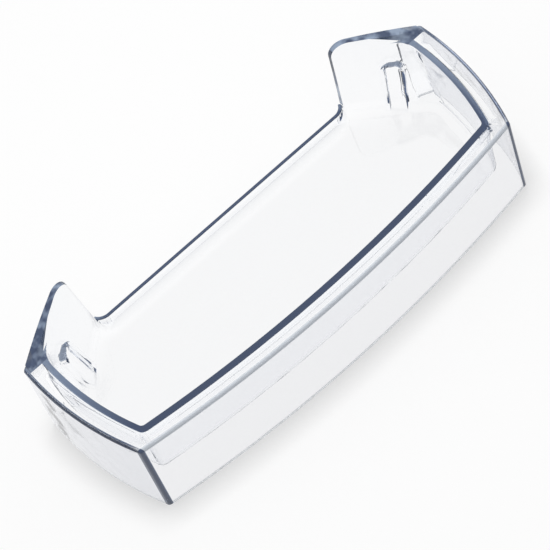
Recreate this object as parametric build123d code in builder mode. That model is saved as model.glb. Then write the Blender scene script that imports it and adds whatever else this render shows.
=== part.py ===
from build123d import *
import os
from math import cos, hypot, radians, sin

# A clear door shelf for a refrigerator, moulded in one piece.
# +X runs along the shelf, the bowed front faces -Y, and +Z is up.
# The origin is under the middle of the shelf, on the surface that the skirt stands on.

# Outer skirt, measured at the level of the rim
front_corner_x = 180.0
front_corner_y = -65.0
front_bow = 14.0
rear_corner_x = 198.0
rear_corner_y = 49.0
side_bow = 6.5
rim_height = 84.5
skirt_draft = 1.4

# Walls, and the hollow rim between the skirt and the tray, with the radii inside the hollow
wall = 3.0
skirt_wall = 2.2
front_rim_width = 16.8
side_rim_width = 18.2
hollow_corner_radius = 0.8
hollow_edge_radius = 0.6
hollow_end_radius = 4.0

# The tray's walls are thicker just under the rim, as a bead that stiffens its mouth.
rim_bead = 2.4
rim_bead_depth = 5.0

# Tray, with a low lip at the back that bends outwards to meet the wings
floor_height = 21.6
floor_radius = 8.0
lip_rise = 9.4
lip_setback = 24.5
lip_bend_run = 10.0
lip_bend_radius = 9.7
lip_edge = 1.2
front_corner_radius = 4.0
side_corner_radius = 20.0

# Diagonal rear walls, which rise over the rim as wings, measured from the rear corner of the skirt
wing_width = 65.3
wing_depth = 31.95
wing_rise = 16.1
wing_tip_radius = 12.0
wing_edge_run = 6.2
wing_tip_wall = 3.2
wing_root_wall = 7.0
wing_root_run = 4.5
wing_gap = 0.7
wing_step = 0.8
wing_end = 0.6
diagonal_back_run = 2.0
diagonal_side_width = 19.5
diagonal_side_depth = 24.0
back_lean = 3.0
side_lean = 3.5

# Pockets that drop over the lugs of the door, one in each diagonal wall
pocket_width = 18.4
pocket_height = 48.0
pocket_depth = 12.0
pocket_corner_radius = 7.0
pocket_turn = 50.0
pocket_lean = 12.5
pocket_from_corner_x = 43.3
pocket_from_corner_y = 6.3

# How far the cutting shapes run past the shelf
overrun = 10.0

# Places worked out from the sizes above
wing_tip_x = rear_corner_x - wing_width
wing_tip_y = rear_corner_y + wing_depth
wing_tip_height = rim_height + wing_rise
wing_foot_x = wing_tip_x - wing_edge_run
lip_y = rear_corner_y + lip_setback
lip_height = floor_height + lip_rise
lip_bend_x = wing_foot_x - lip_bend_run
lip_shoulder = lip_height - lip_edge
floor_under = floor_height - wall
rim_under = rim_height - skirt_wall
above = wing_tip_height + overrun
reach = 2 * rear_corner_x

# Outer radii keep the wall of the skirt even round its corners and its upper edge.
skirt_corner_radius = hollow_corner_radius + skirt_wall
rim_edge = hollow_edge_radius + skirt_wall
wing_inset = rim_edge + wing_gap

# The front and the sides are arcs of large circles.
front_radius = (front_corner_x**2 + front_bow**2) / (2 * front_bow)
front_centre = (0.0, front_corner_y - front_bow + front_radius)
side_run = (rear_corner_x - front_corner_x, rear_corner_y - front_corner_y)
side_chord = hypot(*side_run)
side_radius = ((side_chord / 2) ** 2 + side_bow**2) / (2 * side_bow)
side_share = (side_radius - side_bow) / side_chord
side_centre = (
    (front_corner_x + rear_corner_x) / 2 - side_run[1] * side_share,
    (front_corner_y + rear_corner_y) / 2 + side_run[0] * side_share,
)

# The line of the wing, seen from above, runs from its tip to the rear corner of the skirt.
wing_fall = wing_depth / wing_width
wing_skew = hypot(wing_width, wing_depth) / wing_width
wing_slope = (wing_rise - wing_end) / wing_width


def wing_line(x, inset):
    """Point at x on the wing's line, moved in from the outer face by inset."""
    return (x, wing_tip_y - (x - wing_tip_x) * wing_fall - inset * wing_skew)


def wing_level(x):
    """Height of the wing's sloping top at x."""
    return wing_tip_height - (x - wing_tip_x) * wing_slope


# Each face of the diagonal wall is ruled between a line at the floor and one at the rim.
# The wall is even at the floor, and thickens at the rim from the tip of the wing to its root.
diagonal_back = (wing_foot_x + diagonal_back_run, lip_y - wall)
diagonal_side = (rear_corner_x - diagonal_side_width, rear_corner_y - diagonal_side_depth)
diagonal_run = (diagonal_side[0] - diagonal_back[0], diagonal_side[1] - diagonal_back[1])
wall_share = wall / hypot(*diagonal_run)
out = (-diagonal_run[1] * wall_share, diagonal_run[0] * wall_share)
rim_back_x = diagonal_back[0] + back_lean
rim_side_x = diagonal_side[0] + side_lean
inner_face = (
    (diagonal_back, wing_line(rim_back_x, wing_step + wing_tip_wall)),
    (diagonal_side, wing_line(rim_side_x, wing_step + wing_root_wall)),
)
outer_face = (
    ((diagonal_back[0] + out[0], diagonal_back[1] + out[1]), wing_line(rim_back_x, wing_step)),
    ((diagonal_side[0] + out[0], diagonal_side[1] + out[1]), wing_line(rim_side_x, wing_step)),
)


def diagonal_line(face, level):
    """Both ends of the line of one face of the diagonal wall at a level."""
    share = (level - floor_height) / (rim_height - floor_height)
    ends = []
    for low, high in face:
        ends.append((low[0] + (high[0] - low[0]) * share, low[1] + (high[1] - low[1]) * share))
    return ends


def behind_diagonal(face, level):
    """Four-sided section of everything behind one face of the diagonal wall at a level."""
    back, side = diagonal_line(face, level)
    run_x = side[0] - back[0]
    run_y = side[1] - back[1]
    start = (back[0] - run_x, back[1] - run_y)
    end = (side[0] + run_x, side[1] + run_y)
    far_end = (end[0] - 2 * run_y, end[1] + 2 * run_x)
    far_start = (start[0] - 2 * run_y, start[1] + 2 * run_x)
    Polygon(start, end, far_end, far_start, align=None)


def arc_plan(front, side, mode=Mode.ADD):
    """Plan within the bowed front and sides, moved in from the skirt by front and side."""
    with Locations(front_centre):
        Circle(front_radius - front, mode=mode)
    for centre_x in (-side_centre[0], side_centre[0]):
        with Locations((centre_x, side_centre[1])):
            Circle(side_radius - side, mode=Mode.INTERSECT)


def tray_plan(grow, mode=Mode.ADD):
    """Plan within the front and side faces of the tray, grown outwards by grow."""
    arc_plan(front_rim_width - grow, side_rim_width - grow, mode)


def skirt_plan(inset):
    """Plan of the skirt at the rim, closed along the lines of both wings, moved in by inset."""
    arc_plan(inset, inset)
    right = wing_line(reach, inset)
    left = (-right[0], right[1])
    middle = wing_line(0.0, inset)
    Polygon(left, (-reach, -reach), (reach, -reach), right, middle, align=None, mode=Mode.INTERSECT)


def lip_plan(inset):
    """Plan in front of the back lip and its bent ends, moved in by inset."""
    with Locations((0, lip_y - inset)):
        Rectangle(2 * reach, 2 * reach, align=(Align.CENTER, Align.MAX))
    for side in (-1, 1):
        with Locations((side * (lip_bend_x + reach / 2), lip_y - inset)):
            Rectangle(reach, lip_bend_radius + inset, align=(Align.CENTER, Align.MIN))
        with Locations((side * lip_bend_x, lip_y + lip_bend_radius)):
            Circle(lip_bend_radius + inset, mode=Mode.SUBTRACT)


def is_upright(edge):
    """Whether an edge rises more than it runs."""
    direction = edge.tangent_at(0.5)
    return abs(direction.Z) > hypot(direction.X, direction.Y)


# Everything behind the inner face, and behind the outer face, of both diagonal walls
with BuildPart() as behind_inner:
    for level in (-wall, above):
        with BuildSketch(Plane.XY.offset(level)):
            behind_diagonal(inner_face, level)
    loft(ruled=True)
    mirror(about=Plane.YZ)

with BuildPart() as behind_outer:
    for level in (-wall, above):
        with BuildSketch(Plane.XY.offset(level)):
            behind_diagonal(outer_face, level)
    loft(ruled=True)
    mirror(about=Plane.YZ)

# The space inside the tray, open at the back above the lip, with rounded corners
with BuildPart() as tray_space:
    with BuildSketch(Plane.XY.offset(floor_height)):
        lip_plan(wall)
        tray_plan(0.0, Mode.INTERSECT)
    extrude(amount=lip_rise)
    with BuildSketch(Plane.XY.offset(lip_height)):
        with Locations((0, wing_tip_y)):
            Rectangle(2 * reach, 2 * reach, align=(Align.CENTER, Align.MAX))
        tray_plan(0.0, Mode.INTERSECT)
    extrude(amount=above - lip_height)
    add(behind_inner.part, mode=Mode.SUBTRACT)
    front_corners = tray_space.edges().filter_by(is_upright).sort_by(Axis.Y)[:2]
    fillet(front_corners, front_corner_radius)
    upright = tray_space.edges().filter_by(is_upright).sort_by(Axis.X)
    fillet([upright[0], upright[-1]], side_corner_radius)
    fillet(tray_space.faces().sort_by(Axis.Z)[0].edges(), floor_radius)


def tray_column(thickness, base):
    """The tray as a solid from base upwards, with walls of that thickness and even corners."""
    with BuildPart() as column:
        with BuildSketch(Plane.XY.offset(base)):
            lip_plan(0.0)
            tray_plan(thickness, Mode.INTERSECT)
        extrude(amount=above - base)
        add(behind_outer.part, mode=Mode.SUBTRACT)
        front_corners = column.edges().filter_by(is_upright).sort_by(Axis.Y)[:2]
        fillet(front_corners, front_corner_radius + thickness)
        upright = column.edges().filter_by(is_upright).sort_by(Axis.X)
        fillet([upright[0], upright[-1]], side_corner_radius + thickness)
    return column.part


# The tray up to the outer faces of its walls. The radius under its front edge runs on along the sides
# and the diagonal walls, because these edges are smooth.
with BuildPart() as tray_block:
    add(tray_column(wall, floor_under))
    front_under = tray_block.faces().sort_by(Axis.Z)[0].edges().sort_by(Axis.Y)[0]
    fillet(front_under, floor_radius + wall)

# The space under the rim, behind the diagonal walls and under the floor, open at the bottom
with BuildPart() as rim_space:
    with BuildSketch(Plane.XY.offset(rim_under)):
        skirt_plan(skirt_wall)
    extrude(amount=rim_height, dir=(0, 0, -1), taper=-skirt_draft)
    hollow_corners = rim_space.edges().filter_by(is_upright).sort_by(Axis.Y)[:2]
    fillet(hollow_corners, hollow_corner_radius)
    rear_top = rim_space.edges().group_by(Axis.Z)[-1].sort_by(Axis.Y)[-2:]
    fillet(rear_top, hollow_end_radius)
    front_top = rim_space.edges().filter_by_position(Axis.Z, rim_under, rim_under).sort_by(Axis.Y)[0]
    fillet(front_top, hollow_edge_radius)
    with BuildSketch(Plane.XY.offset(-overrun)):
        tray_plan(0.0)
    extrude(amount=2 * above)
    add(tray_block.part, mode=Mode.SUBTRACT)
    add(tray_column(wall + rim_bead, rim_under - rim_bead_depth), mode=Mode.SUBTRACT)

# The wings, which carry the diagonal walls on above the rim and out to the corners of the skirt
with BuildPart() as wings:
    with BuildSketch(Plane.XY.offset(rim_under)):
        with Locations((wing_foot_x, rear_corner_y - wing_root_run)):
            Rectangle(reach, wing_root_run + wing_depth + overrun, align=Align.MIN)
        arc_plan(wing_inset, wing_inset, Mode.INTERSECT)
    extrude(amount=wing_tip_height - rim_under)
    add(behind_inner.part, mode=Mode.INTERSECT)
    add(behind_outer.part, mode=Mode.SUBTRACT)
    mirror(about=Plane.YZ)

# The front face of the right lug pocket, which leans back and stands proud of the diagonal wall
pocket_along = (cos(radians(pocket_turn)), -sin(radians(pocket_turn)), 0)
pocket_out = (
    -sin(radians(pocket_turn)) * cos(radians(pocket_lean)),
    -cos(radians(pocket_turn)) * cos(radians(pocket_lean)),
    sin(radians(pocket_lean)),
)
pocket_foot = (rear_corner_x - pocket_from_corner_x, rear_corner_y - pocket_from_corner_y, floor_height)
pocket_face = Plane(origin=pocket_foot, x_dir=pocket_along, z_dir=pocket_out)


def pocket_outline(inset, drop):
    """Upright outline of the pocket, moved in by inset and reaching below the floor by drop."""
    with Locations((0, -drop)):
        Rectangle(
            pocket_width - 2 * inset,
            pocket_height - inset + drop,
            align=(Align.CENTER, Align.MIN),
        )


# The walls of both pockets, with rounded heads, standing on the floor
with BuildPart() as pocket_walls:
    with BuildSketch(pocket_face) as head:
        pocket_outline(0.0, wall)
        fillet(head.vertices().group_by(Axis.Y)[-1], pocket_corner_radius)
    extrude(amount=-pocket_depth)
    add(tray_block.part, mode=Mode.INTERSECT)
    mirror(about=Plane.YZ)

# The sockets in the pockets, open behind and below
with BuildPart() as pocket_space:
    with BuildSketch(pocket_face.offset(-wall)) as head:
        pocket_outline(wall, floor_height)
        fillet(head.vertices().group_by(Axis.Y)[-1], pocket_corner_radius - wall)
    extrude(amount=-pocket_depth)
    mirror(about=Plane.YZ)

# The rounded top of the back lip, carried on into the diagonal walls
with BuildPart() as lip_top:
    with BuildSketch(Plane.XY.offset(floor_height)):
        lip_plan(0.0)
        with BuildSketch(mode=Mode.PRIVATE) as lip_inside:
            lip_plan(wall)
        add(lip_inside.sketch, mode=Mode.SUBTRACT)
    extrude(amount=lip_rise)
    long_edges = lip_top.edges().group_by(Axis.Z)[-1].filter_by(lambda edge: edge.length > 2 * wall)
    fillet(long_edges, lip_edge)
    add(tray_block.part, mode=Mode.INTERSECT)

# The open back over the lip, between the edges of the wings and over their sloping tops
with BuildPart() as open_back:
    with BuildSketch(Plane.XZ.offset(-reach)) as opening:
        with BuildLine():
            Polyline(
                (0, lip_shoulder),
                (wing_foot_x, lip_shoulder),
                (wing_tip_x, wing_tip_height),
                (reach, wing_level(reach)),
                (reach, 2 * above),
                (0, 2 * above),
                close=True,
            )
        make_face()
        tip = opening.vertices().sort_by_distance((wing_tip_x, wing_tip_height))[0]
        fillet(tip, wing_tip_radius)
        mirror(about=Plane.YZ)
    extrude(amount=reach)

# The whole moulding
with BuildPart() as door_shelf:
    with BuildSketch(Plane.XY.offset(rim_height)):
        skirt_plan(0.0)
    extrude(amount=rim_height, dir=(0, 0, -1), taper=-skirt_draft)
    skirt_corners = door_shelf.edges().filter_by(is_upright).sort_by(Axis.Y)[:2]
    fillet(skirt_corners, skirt_corner_radius)
    at_rim = door_shelf.edges().filter_by_position(Axis.Z, rim_height, rim_height)
    fillet(at_rim.filter_by(GeomType.LINE, reverse=True), rim_edge)
    add(rim_space.part, mode=Mode.SUBTRACT)
    add(wings.part)
    add(tray_space.part, mode=Mode.SUBTRACT)
    add(open_back.part, mode=Mode.SUBTRACT)
    add(lip_top.part)
    add(pocket_walls.part)
    add(pocket_space.part, mode=Mode.SUBTRACT)

os.makedirs("parts", exist_ok=True)
door_shelf.part.label = "door_shelf"
export_step(door_shelf.part, "parts/door_shelf.step")
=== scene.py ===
import bmesh
import bpy
import numpy as np
from mathutils import Matrix, Vector


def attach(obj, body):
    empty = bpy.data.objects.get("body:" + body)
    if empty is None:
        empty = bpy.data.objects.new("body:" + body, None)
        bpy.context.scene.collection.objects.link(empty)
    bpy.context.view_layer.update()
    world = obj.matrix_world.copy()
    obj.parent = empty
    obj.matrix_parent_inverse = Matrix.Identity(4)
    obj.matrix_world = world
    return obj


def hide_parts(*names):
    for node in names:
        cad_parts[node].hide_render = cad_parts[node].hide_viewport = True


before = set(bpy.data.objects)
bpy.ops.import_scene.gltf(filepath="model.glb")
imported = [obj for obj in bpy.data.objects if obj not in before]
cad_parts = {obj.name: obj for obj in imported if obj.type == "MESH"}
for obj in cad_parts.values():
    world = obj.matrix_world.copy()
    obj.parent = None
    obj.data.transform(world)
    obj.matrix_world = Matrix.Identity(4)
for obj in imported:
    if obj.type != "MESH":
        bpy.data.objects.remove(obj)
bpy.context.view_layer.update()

# Camera, where the photographer stood: well above the front left of the shelf, with a long lens
# held turned so that the shelf runs up to the right. Angles in degrees, lengths in metres.
TURN, RISE, ROLL = np.radians([22.007, 57.832, -22.614])
AIM = np.array([-0.00515, 0.01052, 0.01547])
DISTANCE, FAR_LIMIT = 1.71341, 20.0
FOCAL_PIXELS, FRAME_PIXELS, SENSOR_MM = 2279.96, 550, 36.0

back = np.array([-np.sin(TURN) * np.cos(RISE), -np.cos(TURN) * np.cos(RISE), np.sin(RISE)])
level = np.array([np.cos(TURN), -np.sin(TURN), 0.0])
over = np.cross(back, level)
right = np.cos(ROLL) * level + np.sin(ROLL) * over
up = np.cos(ROLL) * over - np.sin(ROLL) * level
turned = Matrix(np.column_stack([right, up, back])).to_quaternion()

lens = bpy.data.cameras.new("camera")
lens.sensor_width = SENSOR_MM
lens.lens = SENSOR_MM * FOCAL_PIXELS / FRAME_PIXELS
lens.clip_end = FAR_LIMIT
camera = bpy.data.objects.new("camera", lens)
camera.matrix_world = Matrix.LocRotScale(Vector(AIM + DISTANCE * back), turned, None)
bpy.context.scene.collection.objects.link(camera)
bpy.context.scene.camera = camera

# Door shelf: one tray with a hollow rim, a low back lip and two rear wings with lug pockets.
# It is clear styrene-acrylonitrile, injection moulded in one shot in a polished tool, and it hangs
# on the door by its two pockets with nothing fastened to it.
MERGE_WITHIN = 1e-6
SHARP_FROM = np.radians(28.0)
FLAT_FACE_WEIGHT = 100

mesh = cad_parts["door_shelf"].data.copy()
shelf = bpy.data.objects.new("shelf_moulding", mesh)
bpy.context.scene.collection.objects.link(shelf)
loose = bmesh.new()
loose.from_mesh(mesh)
bmesh.ops.remove_doubles(loose, verts=loose.verts, dist=MERGE_WITHIN)
loose.to_mesh(mesh)
loose.free()

# Large faces keep their own normals, and only real edges stay sharp, so the walls read as flat sheets.
mesh.shade_smooth()
mesh.set_sharp_from_angle(angle=SHARP_FROM)
weigh = shelf.modifiers.new("weigh", "WEIGHTED_NORMAL")
weigh.keep_sharp = True
weigh.weight = FLAT_FACE_WEIGHT


def linear(hex_colour):
    """An sRGB hex colour as linear red, green, blue and 1: the sRGB curve undone channel by channel."""
    srgb = np.array([int(hex_colour[i:i + 2], 16) for i in (1, 3, 5)]) / 255
    return (*np.where(srgb <= 0.04045, srgb / 12.92, ((srgb + 0.055) / 1.055) ** 2.4).tolist(), 1.0)


def add_node(tree, kind, settings, inputs):
    """A node of that kind: settings by name, and inputs by name or number, as sockets or values."""
    node = tree.nodes.new(kind)
    for name, value in settings.items():
        setattr(node, name, value)
    for name, value in inputs.items():
        if isinstance(value, bpy.types.NodeSocket):
            tree.links.new(value, node.inputs[name])
        else:
            node.inputs[name].default_value = value
    return node


# Clear styrene-acrylonitrile, polished as moulded. It shows the white around it, a little greyed by each
# wall. Its thick edges are painted navy, a painted shade for the light they trap, and on the wings the
# painted shade is mottled.
material = bpy.data.materials.new("clear_styrene_acrylonitrile")
material.use_nodes = True
tree = material.node_tree
tree.nodes.clear()
MATH, RANGE, MIX = "ShaderNodeMath", "ShaderNodeMapRange", "ShaderNodeMix"

# The edges lie by the bowed front and the bowed sides, which are arcs of these circles, in metres.
FRONT_CENTRE, FRONT_RADIUS = (0.0, 1.08514, 0.0), 1.16414
SIDE_CENTRE, SIDE_RADIUS = (-0.06081, 0.03144, 0.0), 0.25941

place = add_node(tree, "ShaderNodeTexCoord", {}, {}).outputs["Object"]
at = add_node(tree, "ShaderNodeSeparateXYZ", {}, {0: place}).outputs
normal = add_node(tree, "ShaderNodeNewGeometry", {}, {}).outputs["True Normal"]
facing = add_node(tree, "ShaderNodeSeparateXYZ", {}, {0: normal}).outputs
half_x = add_node(tree, MATH, {"operation": "ABSOLUTE"}, {0: at["X"]}).outputs[0]
plan = add_node(tree, "ShaderNodeCombineXYZ", {}, {0: half_x, 1: at["Y"], 2: 0.0}).outputs[0]
depths = []
for centre, radius in ((FRONT_CENTRE, FRONT_RADIUS), (SIDE_CENTRE, SIDE_RADIUS)):
    reach = add_node(tree, "ShaderNodeVectorMath", {"operation": "DISTANCE"},
                     {0: plan, 1: centre}).outputs["Value"]
    depths.append(add_node(tree, MATH, {"operation": "SUBTRACT"}, {0: radius, 1: reach}).outputs[0])
in_front, in_side = depths

# Mouth of the tray and tops of the wings, painted with the navy shade: the flat top from these depths
# inwards, and all of it behind the rear line. It is a little clearer and less shaded towards the front.
MOUTH_FRONT, MOUTH_SIDE, MOUTH_ROUNDING, MOUTH_BLUR = 0.0118, 0.0138, 0.004, 0.0003
REAR_LINE, UPWARD, HIGH = 0.0436, 0.6, 0.0842
FADE_FRONT, FADE_REAR, FADE_LEAST = -0.06, 0.03, 0.8

past_front = add_node(tree, MATH, {"operation": "SUBTRACT"}, {0: in_front, 1: MOUTH_FRONT}).outputs[0]
past_side = add_node(tree, MATH, {"operation": "SUBTRACT"}, {0: in_side, 1: MOUTH_SIDE}).outputs[0]
past_both = add_node(tree, MATH, {"operation": "SMOOTH_MIN"},
                     {0: past_front, 1: past_side, 2: MOUTH_ROUNDING}).outputs[0]
past_rear = add_node(tree, MATH, {"operation": "SUBTRACT"}, {0: at["Y"], 1: REAR_LINE}).outputs[0]
past_panel = add_node(tree, MATH, {"operation": "MAXIMUM"}, {0: past_both, 1: past_rear}).outputs[0]
top_edge = add_node(tree, RANGE, {},
                    {"Value": past_panel, "From Min": -MOUTH_BLUR, "From Max": MOUTH_BLUR}).outputs[0]
is_up = add_node(tree, MATH, {"operation": "GREATER_THAN"}, {0: facing["Z"], 1: UPWARD}).outputs[0]
is_high = add_node(tree, MATH, {"operation": "GREATER_THAN"}, {0: at["Z"], 1: HIGH}).outputs[0]
for limit in (is_up, is_high):
    top_edge = add_node(tree, MATH, {"operation": "MULTIPLY"}, {0: top_edge, 1: limit}).outputs[0]

# Root of each wing, where the painted navy shade also runs down the inner face, to a line that slopes down
# outwards
ROOT_SLOPE, ROOT_FROM, ROOT_TO = 0.535, 0.1795, 0.1799

root_line = add_node(tree, MATH, {"operation": "MULTIPLY_ADD"},
                     {0: half_x, 1: ROOT_SLOPE, 2: at["Z"]}).outputs[0]
root_edge = add_node(tree, RANGE, {},
                     {"Value": root_line, "From Min": ROOT_FROM, "From Max": ROOT_TO}).outputs[0]
is_rear = add_node(tree, MATH, {"operation": "GREATER_THAN"}, {0: past_rear, 1: 0.0}).outputs[0]
for limit in (is_high, is_rear):
    root_edge = add_node(tree, MATH, {"operation": "MULTIPLY"}, {0: root_edge, 1: limit}).outputs[0]
top_edge = add_node(tree, MATH, {"operation": "MAXIMUM"}, {0: top_edge, 1: root_edge}).outputs[0]
fade = add_node(tree, RANGE, {}, {
    "Value": at["Y"], "From Min": FADE_FRONT, "From Max": FADE_REAR, "To Min": FADE_LEAST, "To Max": 1.0,
}).outputs[0]
mouth_edge = add_node(tree, MATH, {"operation": "MULTIPLY"}, {0: top_edge, 1: fade}).outputs[0]

# Top of the back lip, between the wings, painted with the navy shade
LIP_MIDDLE, LIP_HALF, LIP_FRONT, LIP_END = 0.0308, 0.0006, 0.0702, 0.1266

lip_edge = add_node(tree, MATH, {"operation": "COMPARE"},
                    {0: at["Z"], 1: LIP_MIDDLE, 2: LIP_HALF}).outputs[0]
lip_place = add_node(tree, MATH, {"operation": "GREATER_THAN"}, {0: at["Y"], 1: LIP_FRONT}).outputs[0]
lip_reach = add_node(tree, MATH, {"operation": "LESS_THAN"}, {0: half_x, 1: LIP_END}).outputs[0]
for limit in (lip_place, lip_reach):
    lip_edge = add_node(tree, MATH, {"operation": "MULTIPLY"}, {0: lip_edge, 1: limit}).outputs[0]

# Upright inner ends of the wings, above the lip, painted with the navy shade about half as strongly as their
# tops
SIDEWAYS, ABOVE_LIP, END_REACH, END_STRENGTH = 0.85, 0.0325, 0.14, 0.45

sideways = add_node(tree, MATH, {"operation": "ABSOLUTE"}, {0: facing["X"]}).outputs[0]
end_edge = add_node(tree, MATH, {"operation": "GREATER_THAN"}, {0: sideways, 1: SIDEWAYS}).outputs[0]
above_lip = add_node(tree, MATH, {"operation": "GREATER_THAN"}, {0: at["Z"], 1: ABOVE_LIP}).outputs[0]
end_reach = add_node(tree, MATH, {"operation": "LESS_THAN"}, {0: half_x, 1: END_REACH}).outputs[0]
for limit in (above_lip, end_reach, END_STRENGTH):
    end_edge = add_node(tree, MATH, {"operation": "MULTIPLY"}, {0: end_edge, 1: limit}).outputs[0]

# Rounded heads of the lug pockets, with painted shade that shows as grey-blue arches
HEAD_MIDDLE, HEAD_HALF, HEAD_X, HEAD_HALF_X, HEAD_FRONT = 0.0605, 0.01, 0.1585, 0.0185, 0.03

head_level = add_node(tree, MATH, {"operation": "COMPARE"},
                      {0: at["Z"], 1: HEAD_MIDDLE, 2: HEAD_HALF}).outputs[0]
head_place = add_node(tree, MATH, {"operation": "COMPARE"},
                      {0: half_x, 1: HEAD_X, 2: HEAD_HALF_X}).outputs[0]
head_rear = add_node(tree, MATH, {"operation": "GREATER_THAN"}, {0: at["Y"], 1: HEAD_FRONT}).outputs[0]
head = is_up
for limit in (head_level, head_place, head_rear):
    head = add_node(tree, MATH, {"operation": "MULTIPLY"}, {0: head, 1: limit}).outputs[0]

# Upright front corners, painted with the navy shade: within 3 mm of both faces of the skirt, which lean out
# by their draft
RIM_TOP, SKIRT_DRAFT = 0.0845, float(np.tan(np.radians(1.4)))
CORNER_FROM, CORNER_TO = 0.0029, 0.0023

draft = add_node(tree, MATH, {"operation": "MULTIPLY_ADD"},
                 {0: at["Z"], 1: -SKIRT_DRAFT, 2: RIM_TOP * SKIRT_DRAFT}).outputs[0]
deeper = add_node(tree, MATH, {"operation": "MAXIMUM"}, {0: in_front, 1: in_side}).outputs[0]
corner_depth = add_node(tree, MATH, {"operation": "ADD"}, {0: deeper, 1: draft}).outputs[0]
corner_edge = add_node(tree, RANGE, {},
                       {"Value": corner_depth, "From Min": CORNER_FROM, "From Max": CORNER_TO}).outputs[0]

# Rounded upper edge of the skirt, 2.8 mm in radius, with painted shade: along the sides a painted dark line
# on either side of a bright core, and along the front one painted pale line
CREASE_FROM, CREASE_TO, CREASE_LOW = 0.0031, 0.0025, 0.0817
CORE_MIDDLE, CORE_HALF = 0.0013, 0.0007
SIDE_FROM, SIDE_TO, SIDE_STRENGTH = 0.178, 0.182, 0.5

nearer = add_node(tree, MATH, {"operation": "MINIMUM"}, {0: in_front, 1: in_side}).outputs[0]
crease_depth = add_node(tree, RANGE, {},
                        {"Value": nearer, "From Min": CREASE_FROM, "From Max": CREASE_TO}).outputs[0]
crease_level = add_node(tree, MATH, {"operation": "GREATER_THAN"}, {0: at["Z"], 1: CREASE_LOW}).outputs[0]
on_side = add_node(tree, RANGE, {}, {"Value": half_x, "From Min": SIDE_FROM, "From Max": SIDE_TO}).outputs[0]
core = add_node(tree, MATH, {"operation": "COMPARE"}, {0: nearer, 1: CORE_MIDDLE, 2: CORE_HALF}).outputs[0]
side_edge = add_node(tree, MATH, {"operation": "SUBTRACT"}, {0: crease_depth, 1: core}).outputs[0]
for limit in (crease_level, on_side, SIDE_STRENGTH):
    side_edge = add_node(tree, MATH, {"operation": "MULTIPLY"}, {0: side_edge, 1: limit}).outputs[0]
on_front = add_node(tree, MATH, {"operation": "SUBTRACT"}, {0: 1.0, 1: on_side}).outputs[0]
front_edge = crease_depth
for limit in (crease_level, on_front):
    front_edge = add_node(tree, MATH, {"operation": "MULTIPLY"}, {0: front_edge, 1: limit}).outputs[0]

# Foot of the skirt, with a painted shadow: a thin grey line where it meets the floor
FOOT_FROM, FOOT_TO = 0.0016, 0.0008

foot = add_node(tree, RANGE, {}, {"Value": at["Z"], "From Min": FOOT_FROM, "From Max": FOOT_TO}).outputs[0]
pale_edge = add_node(tree, MATH, {"operation": "MAXIMUM"}, {0: front_edge, 1: foot}).outputs[0]

# Skirt, with painted shade: a little greyer than the tray, and most so along the sides
SKIRT_FROM, SKIRT_TO = 0.0027, 0.0024

skirt_depth = add_node(tree, MATH, {"operation": "ADD"}, {0: nearer, 1: draft}).outputs[0]
skirt = add_node(tree, RANGE, {},
                 {"Value": skirt_depth, "From Min": SKIRT_FROM, "From Max": SKIRT_TO}).outputs[0]
side_skirt = add_node(tree, MATH, {"operation": "MULTIPLY"}, {0: skirt, 1: on_side}).outputs[0]

# The painted navy shade of the edges is mottled in patches of about 12 mm, and only the wings and their
# roots show the mottling.
# Between the front corners and the roots the painted side bands grow paler towards the rear.
PATCH, PATCH_DETAIL, PATCH_FROM, PATCH_TO = 0.012, 2.0, 0.42, 0.62
MOTTLE_FRONT, MOTTLE_REAR, WING_FROM, WING_TO = 0.0, 0.05, 0.12, 0.13
BAND_FRONT, BAND_REAR, BAND_PALEST = -0.045, 0.02, 0.5

patches = add_node(tree, "ShaderNodeTexNoise", {},
                   {"Vector": place, "Scale": 1 / PATCH, "Detail": PATCH_DETAIL}).outputs["Fac"]
painted_mottle = add_node(tree, RANGE, {},
                 {"Value": patches, "From Min": PATCH_FROM, "From Max": PATCH_TO}).outputs[0]
rear_part = add_node(tree, RANGE, {},
                     {"Value": at["Y"], "From Min": MOTTLE_FRONT, "From Max": MOTTLE_REAR}).outputs[0]
wing_part = add_node(tree, RANGE, {},
                     {"Value": half_x, "From Min": WING_FROM, "From Max": WING_TO}).outputs[0]
painted_mottle = add_node(tree, MATH, {"operation": "MULTIPLY"}, {0: painted_mottle, 1: rear_part}).outputs[0]
before_wing = add_node(tree, MATH, {"operation": "SUBTRACT"}, {0: 1.0, 1: is_rear}).outputs[0]
side_band = add_node(tree, RANGE, {}, {
    "Value": at["Y"], "From Min": BAND_FRONT, "From Max": BAND_REAR, "To Max": BAND_PALEST,
}).outputs[0]
side_band = add_node(tree, MATH, {"operation": "MULTIPLY"}, {0: side_band, 1: before_wing}).outputs[0]
painted_mottle = add_node(tree, MATH, {"operation": "MAXIMUM"}, {0: painted_mottle, 1: side_band}).outputs[0]
painted_mottle = add_node(tree, MATH, {"operation": "MULTIPLY"}, {0: painted_mottle, 1: wing_part}).outputs[0]
navy = add_node(tree, MIX, {"data_type": "RGBA"},
                {0: painted_mottle, 6: linear("#384866"), 7: linear("#93a3ba")}).outputs[2]

# Colour of the surface, from the clear tray to the navy edges, each laid over the ones before. All of it
# past the
# clear white is painted shade: the faint grey of the wings and skirt, the pale lines, the grey-blue heads
# and the navy edges.
FULL_TINT = 0.3

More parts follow.
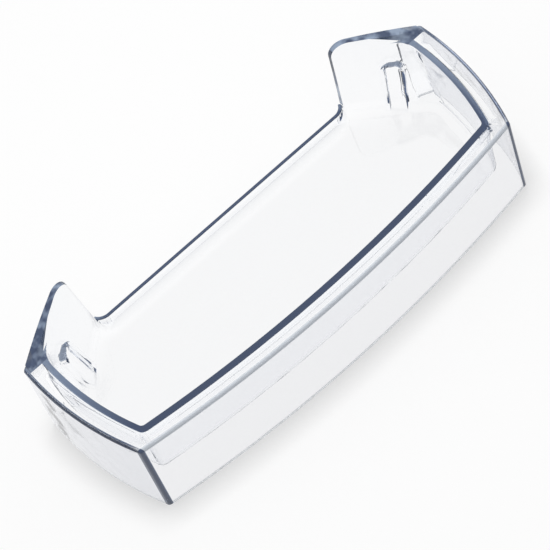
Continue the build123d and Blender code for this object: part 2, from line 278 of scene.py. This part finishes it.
edges = mouth_edge
for edge in (lip_edge, end_edge, corner_edge, side_edge):
    edges = add_node(tree, MATH, {"operation": "MAXIMUM"}, {0: edges, 1: edge}).outputs[0]
wing = add_node(tree, MATH, {"operation": "MULTIPLY"}, {0: is_rear, 1: above_lip}).outputs[0]
colour = linear("#ffffff")
for mask, tint in ((wing, "#fcfcfc"), (skirt, "#f5f5f6"), (side_skirt, "#e2e3e7"),
                   (pale_edge, "#d0d6de"), (head, "#9aa6ba")):
    colour = add_node(tree, MIX, {"data_type": "RGBA"}, {0: mask, 6: colour, 7: linear(tint)}).outputs[2]
tinted = add_node(tree, RANGE, {}, {"Value": edges, "From Max": FULL_TINT}).outputs[0]
colour = add_node(tree, MIX, {"data_type": "RGBA"}, {0: tinted, 6: colour, 7: navy}).outputs[2]

# How clear the surface is: fully so on the plain walls, and down to a tenth on the navy edges, so that the
# painted shade on them shows
FOOT_COVER, FRONT_COVER, HEAD_COVER, EDGE_CLEAR = 0.4, 0.85, 0.55, 0.1

painted_cover = edges
for mask, share in ((foot, FOOT_COVER), (front_edge, FRONT_COVER), (head, HEAD_COVER)):
    part = add_node(tree, MATH, {"operation": "MULTIPLY"}, {0: mask, 1: share}).outputs[0]
    painted_cover = add_node(tree, MATH, {"operation": "MAXIMUM"}, {0: painted_cover, 1: part}).outputs[0]
clear = add_node(tree, RANGE, {}, {"Value": painted_cover, "To Min": 1.0, "To Max": EDGE_CLEAR}).outputs[0]
plastic = add_node(tree, "ShaderNodeBsdfPrincipled", {}, {
    "Base Color": colour, "Roughness": 0.0, "IOR": 1.5, "Transmission Weight": clear,
}).outputs["BSDF"]

# Inside, the plastic greys what passes, and a faint navy glow stands for the light trapped in a wall.
GREYING, GLOW = 12.0, 20.0

grey = add_node(tree, "ShaderNodeVolumeAbsorption", {},
                {"Color": linear("#b0bccd"), "Density": GREYING}).outputs["Volume"]
piped = add_node(tree, "ShaderNodeEmission", {},
                 {"Color": linear("#3f4d66"), "Strength": GLOW}).outputs["Emission"]
inside = add_node(tree, "ShaderNodeAddShader", {}, {0: grey, 1: piped}).outputs["Shader"]
add_node(tree, "ShaderNodeOutputMaterial", {}, {"Surface": plastic, "Volume": inside})
mesh.materials.clear()
mesh.materials.append(material)
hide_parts("door_shelf")
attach(shelf, "root")

# Floor: a wide sheet of matt white card, laid flat under the shelf, which shows its soft shadow.
# The eye sees it partly as plain white, and more so through the plastic and in its gloss.
FLOOR_HALF = 4.0
SEEN_WHITE, SEEN_THROUGH_WHITE, HALF_BOUNCE = 0.55, 0.92, 0.5

corners = np.array([(-1, -1, 0), (1, -1, 0), (1, 1, 0), (-1, 1, 0)]) * FLOOR_HALF
floor_mesh = bpy.data.meshes.new("floor")
floor_mesh.from_pydata(corners.tolist(), [], [(0, 1, 2, 3)])
floor = bpy.data.objects.new("floor", floor_mesh)
bpy.context.scene.collection.objects.link(floor)
card = bpy.data.materials.new("white_card")
card.use_nodes = True
tree = card.node_tree
tree.nodes.clear()
matt = add_node(tree, "ShaderNodeBsdfDiffuse", {}, {"Color": linear("#f9f9f9")}).outputs["BSDF"]
white = add_node(tree, "ShaderNodeEmission", {},
                 {"Color": linear("#ffffff"), "Strength": 1.0}).outputs["Emission"]

# Rays that have met a matt surface before see the card as it is lit.
ray = add_node(tree, "ShaderNodeLightPath", {}, {}).outputs
first = add_node(tree, MATH, {"operation": "LESS_THAN"},
                 {0: ray["Diffuse Depth"], 1: HALF_BOUNCE}).outputs[0]
through = add_node(tree, MATH, {"operation": "MAXIMUM"},
                   {0: ray["Is Glossy Ray"], 1: ray["Is Transmission Ray"]}).outputs[0]
for limit in (first, SEEN_THROUGH_WHITE):
    through = add_node(tree, MATH, {"operation": "MULTIPLY"}, {0: through, 1: limit}).outputs[0]
share = add_node(tree, MATH, {"operation": "MULTIPLY_ADD"},
                 {0: ray["Is Camera Ray"], 1: SEEN_WHITE, 2: through}).outputs[0]
blend = add_node(tree, "ShaderNodeMixShader", {}, {0: share, 1: matt, 2: white}).outputs["Shader"]
add_node(tree, "ShaderNodeOutputMaterial", {}, {"Surface": blend})
floor_mesh.materials.append(card)

# Studio light: a large soft lamp overhead, which gives the shadow, and a white room all round.
# The plastic shows the room and the card, and not the lamp.
LAMP_PLACE, LAMP_SIDE, LAMP_WATTS = Vector((0.05, 0.2, 2.4)), 0.8, 42.5
ROOM_LIGHT = 0.32

lamp_data = bpy.data.lights.new("softbox", "AREA")
lamp_data.shape = "SQUARE"
lamp_data.size = LAMP_SIDE
lamp_data.energy = LAMP_WATTS
lamp = bpy.data.objects.new("softbox", lamp_data)
lamp.matrix_world = Matrix.LocRotScale(LAMP_PLACE, LAMP_PLACE.to_track_quat("Z", "Y"), None)
lamp.visible_glossy = False
lamp.visible_transmission = False
bpy.context.scene.collection.objects.link(lamp)

world = bpy.data.worlds.new("white_room")
world.use_nodes = True
tree = world.node_tree
tree.nodes.clear()
ray = add_node(tree, "ShaderNodeLightPath", {}, {}).outputs
first = add_node(tree, MATH, {"operation": "LESS_THAN"},
                 {0: ray["Diffuse Depth"], 1: HALF_BOUNCE}).outputs[0]
seen = ray["Is Camera Ray"]
for kind in ("Is Transmission Ray", "Is Glossy Ray"):
    seen = add_node(tree, MATH, {"operation": "MAXIMUM"}, {0: seen, 1: ray[kind]}).outputs[0]
seen = add_node(tree, MATH, {"operation": "MULTIPLY"}, {0: seen, 1: first}).outputs[0]
strength = add_node(tree, RANGE, {}, {"Value": seen, "To Min": ROOM_LIGHT, "To Max": 1.0}).outputs[0]
room = add_node(tree, "ShaderNodeBackground", {},
                {"Color": linear("#ffffff"), "Strength": strength}).outputs["Background"]
add_node(tree, "ShaderNodeOutputWorld", {}, {"Surface": room})
bpy.context.scene.world = world
bpy.context.scene.view_settings.view_transform = "Standard"
